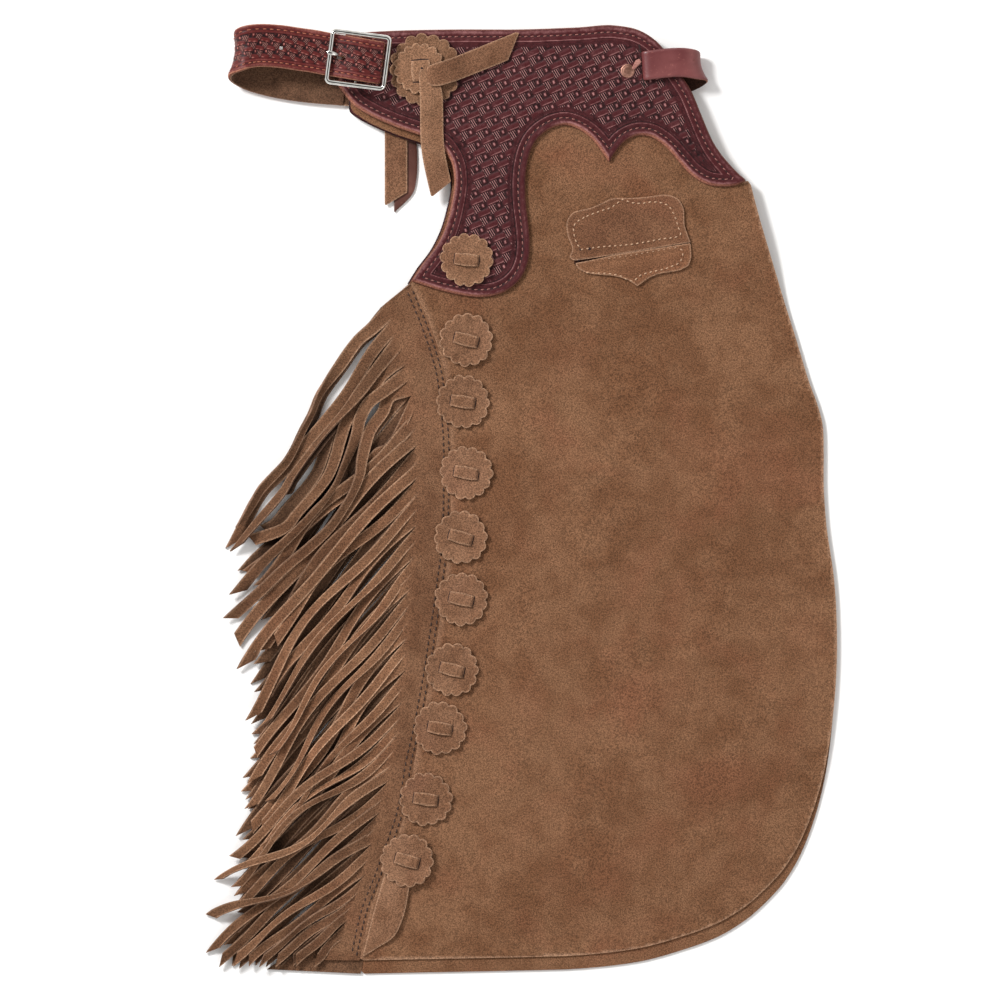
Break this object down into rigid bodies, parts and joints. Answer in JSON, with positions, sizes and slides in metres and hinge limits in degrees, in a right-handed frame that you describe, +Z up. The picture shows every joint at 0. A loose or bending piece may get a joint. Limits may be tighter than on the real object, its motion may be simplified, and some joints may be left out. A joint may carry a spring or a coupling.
{
  "type": "folded western leather chaps",
  "caption": "Suede chaps folded in half and lying flat, with stamped leather yokes, edge fringe, rosettes, belt billet with buckle, and a front strap.",
  "frame": {"origin": "centre of the whole lying garment, on the surface that it rests on", "axes": "+X from the fringed outer edge to the front edge, +Y from hem to waist, +Z up from the surface"},
  "size_m": [0.5723, 0.8701, 0.0307],
  "materials": {
    "suede": "matt brushed suede",
    "suede_lining": "matt suede lining",
    "stamped_leather": "oiled, basket stamped, smooth border",
    "strap_leather": "smooth, half gloss",
    "nickel": "polished nickel plate",
    "copper": "hammered copper rivet"
  },
  "bodies": {
    "root": {"near_panel": "suede", "far_panel": "suede", "near_fringe": "suede", "far_fringe": "suede", "pocket_upper": "suede", "pocket_lower": "suede", "lace_tail": "suede", "hip_rosette_large": "suede", "hip_rosette_small": "suede", "hip_knot": "suede", "hip_thong_up": "suede", "hip_thong_down": "suede", "far_thong_over": "suede", "far_thong_under": "suede", "leg_rosette_01": "suede", "leg_lace_01": "suede", "leg_rosette_02": "suede", "leg_lace_02": "suede", "leg_rosette_03": "suede", "leg_lace_03": "suede", "leg_rosette_04": "suede", "leg_lace_04": "suede", "leg_rosette_05": "suede", "leg_lace_05": "suede", "leg_rosette_06": "suede", "leg_lace_06": "suede", "leg_rosette_07": "suede", "leg_lace_07": "suede", "leg_rosette_08": "suede", "leg_lace_08": "suede", "leg_rosette_09": "suede", "leg_lace_09": "suede", "leg_rosette_10": "suede", "leg_lace_10": "suede", "near_yoke": "stamped_leather", "far_yoke": "stamped_leather", "billet": "stamped_leather", "billet_lining": "suede_lining", "front_strap": "strap_leather", "buckle_chape": "strap_leather", "buckle_frame": "nickel", "buckle_tongue": "nickel", "copper_rivet": "copper"}
  },
  "joints": []
}
